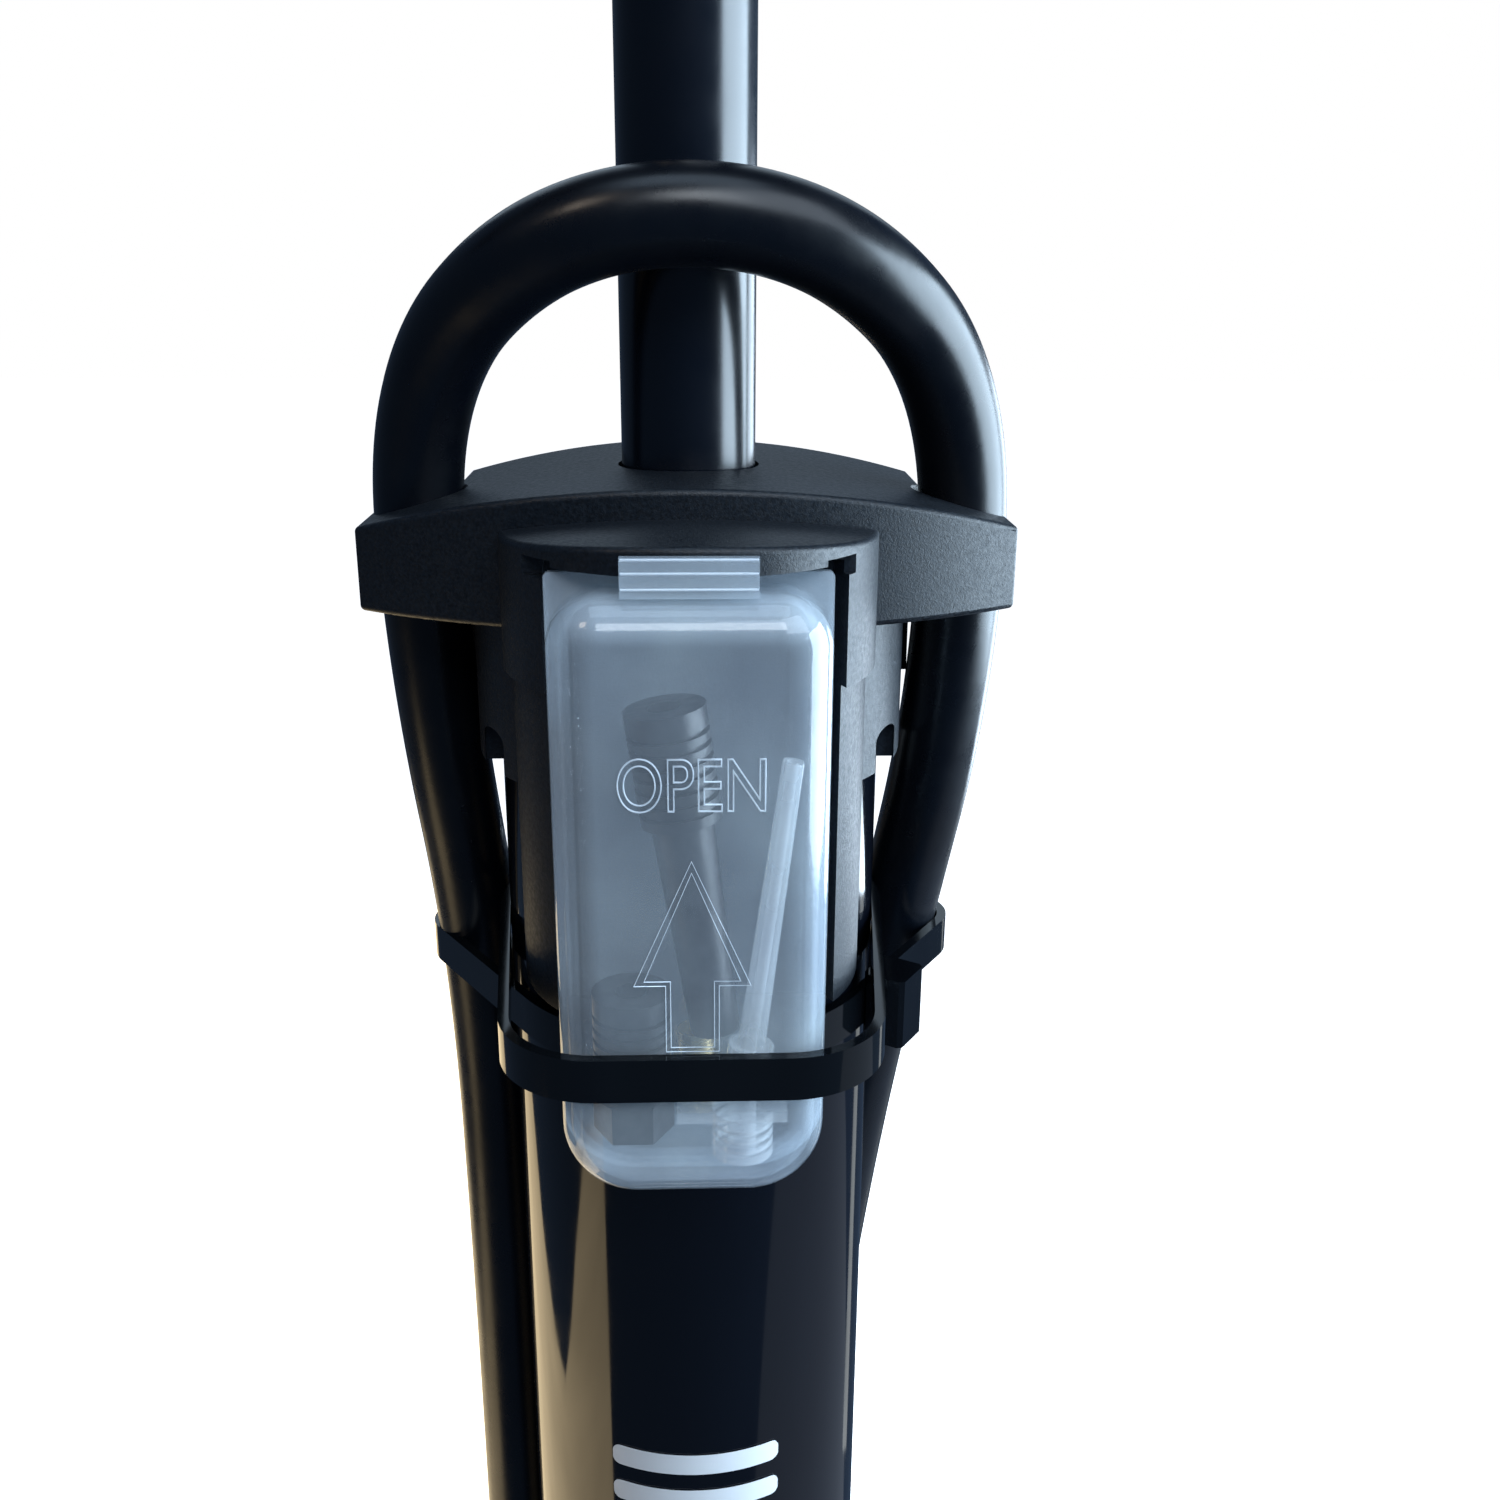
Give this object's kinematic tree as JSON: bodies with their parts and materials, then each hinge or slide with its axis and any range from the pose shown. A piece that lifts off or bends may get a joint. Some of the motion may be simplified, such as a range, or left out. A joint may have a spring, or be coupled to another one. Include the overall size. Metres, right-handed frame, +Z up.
{
  "type": "floor bike pump",
  "caption": "Upright floor pump with a T-handle, looped hose on a yoke collar, pressure gauge, lever pump head and a clear spares box tied to the barrel.",
  "frame": {"origin": "on the floor under the barrel axis, at the face of the centre foot pad", "axes": "+Z up the barrel to the handle, -Y the front, where the gauge and the spares box are"},
  "size_m": [0.244, 0.1342, 0.6796],
  "materials": {
    "collar_plastic": "moulded black plastic with a fine spark texture",
    "barrel_paint": "gloss black paint",
    "rod_black": "smooth satin black tube",
    "hose_rubber": "smooth black rubber with a dull sheen",
    "tie_nylon": "gloss black nylon",
    "box_clear": "milky clear polypropylene",
    "adapter_dark": "dark grey plastic",
    "adapter_clear": "clear moulded plastic",
    "adapter_metal": "plated brass",
    "base_plastic": "moulded black plastic",
    "tread_rubber": "ribbed grey-black rubber",
    "steel": "zinc plated steel",
    "seal_rubber": "soft black rubber",
    "grip_rubber": "soft black grip",
    "gauge_plastic": "gloss black plastic",
    "gauge_face": "white printed face",
    "gauge_glass": "clear lens",
    "needle_red": "red pointer",
    "head_plastic": "black nylon",
    "lever_grey": "grey nylon lever"
  },
  "bodies": {
    "pump_body": {"base_casting": "base_plastic", "foot_pads": "seal_rubber", "step_treads": "tread_rubber", "base_screws": "steel", "barrel_tube": "barrel_paint", "barrel_lower_ring": "collar_plastic", "barrel_seal": "seal_rubber", "valve_seat": "adapter_metal", "valve_spring": "steel", "collar": "collar_plastic", "box_bracket": "collar_plastic", "rod_guide": "head_plastic", "rod_wiper": "seal_rubber", "hose": "hose_rubber", "hose_outlet_fitting": "adapter_metal", "hose_base_ferrule": "steel", "hose_head_ferrule": "head_plastic", "head_clip": "collar_plastic", "pump_head_body": "head_plastic", "pump_head_cap": "head_plastic", "pump_head_gasket": "seal_rubber", "pump_head_plunger": "adapter_metal", "lever_pin": "steel", "gauge_housing": "gauge_plastic", "gauge_dial": "gauge_face", "gauge_bezel": "gauge_plastic", "gauge_lens": "gauge_glass", "gauge_spindle": "steel", "bourdon_tube": "adapter_metal", "gauge_socket": "adapter_metal", "box_tie": "tie_nylon", "box_tie_head": "tie_nylon", "hose_tie": "tie_nylon", "hose_tie_head": "tie_nylon"},
    "piston": {"piston_head": "head_plastic", "piston_cup_seal": "seal_rubber"},
    "handle": {"piston_nut": "steel", "piston_washer": "steel", "piston_rod": "rod_black", "handle_hub": "collar_plastic", "handle_tube": "steel", "grip_left": "grip_rubber", "grip_right": "grip_rubber", "grip_plugs": "collar_plastic", "handle_screw": "steel"},
    "storage_box": {"box_cover": "box_clear", "box_tray": "box_clear", "box_hinge_strip": "box_clear", "valve_adapter": "adapter_dark", "dark_adapter": "adapter_dark", "tapered_nozzle": "adapter_clear", "ball_needle": "adapter_metal", "flanged_adapter": "adapter_clear"},
    "lever": {"head_lever": "lever_grey"},
    "needle": {"gauge_needle": "needle_red"},
    "check_valve": {"valve_disc": "seal_rubber"}
  },
  "joints": [
    {"name": "piston_slide", "type": "slide", "parent": "pump_body", "child": "piston", "axis": [0, 0, 1], "range_m": [0, 0.47]},
    {"name": "handle_turn", "type": "hinge", "parent": "piston", "child": "handle", "pos_m": [0, 0, 0.056], "axis": [0, 0, 1], "continuous": true},
    {"name": "box_slide", "type": "slide", "parent": "pump_body", "child": "storage_box", "axis": [0, 0, -1], "range_m": [0, 0.062]},
    {"name": "lever_hinge", "type": "hinge", "parent": "pump_body", "child": "lever", "pos_m": [-0.02, 0.036, 0.084], "axis": [0, 1, 0], "range_deg": [0, 90]},
    {"name": "needle_turn", "type": "hinge", "parent": "pump_body", "child": "needle", "pos_m": [0, -0.058, 0.044], "axis": [0, 0.6428, -0.766], "range_deg": [0, 270], "stiffness_Nm_per_rad": 0.0001, "springref_deg": -28.65},
    {"name": "valve_lift", "type": "slide", "parent": "pump_body", "child": "check_valve", "axis": [0, 0, -1], "range_m": [0, 0.0012], "stiffness_N_per_m": 60, "springref_m": -0.002, "deforming": ["valve_spring"]}
  ]
}
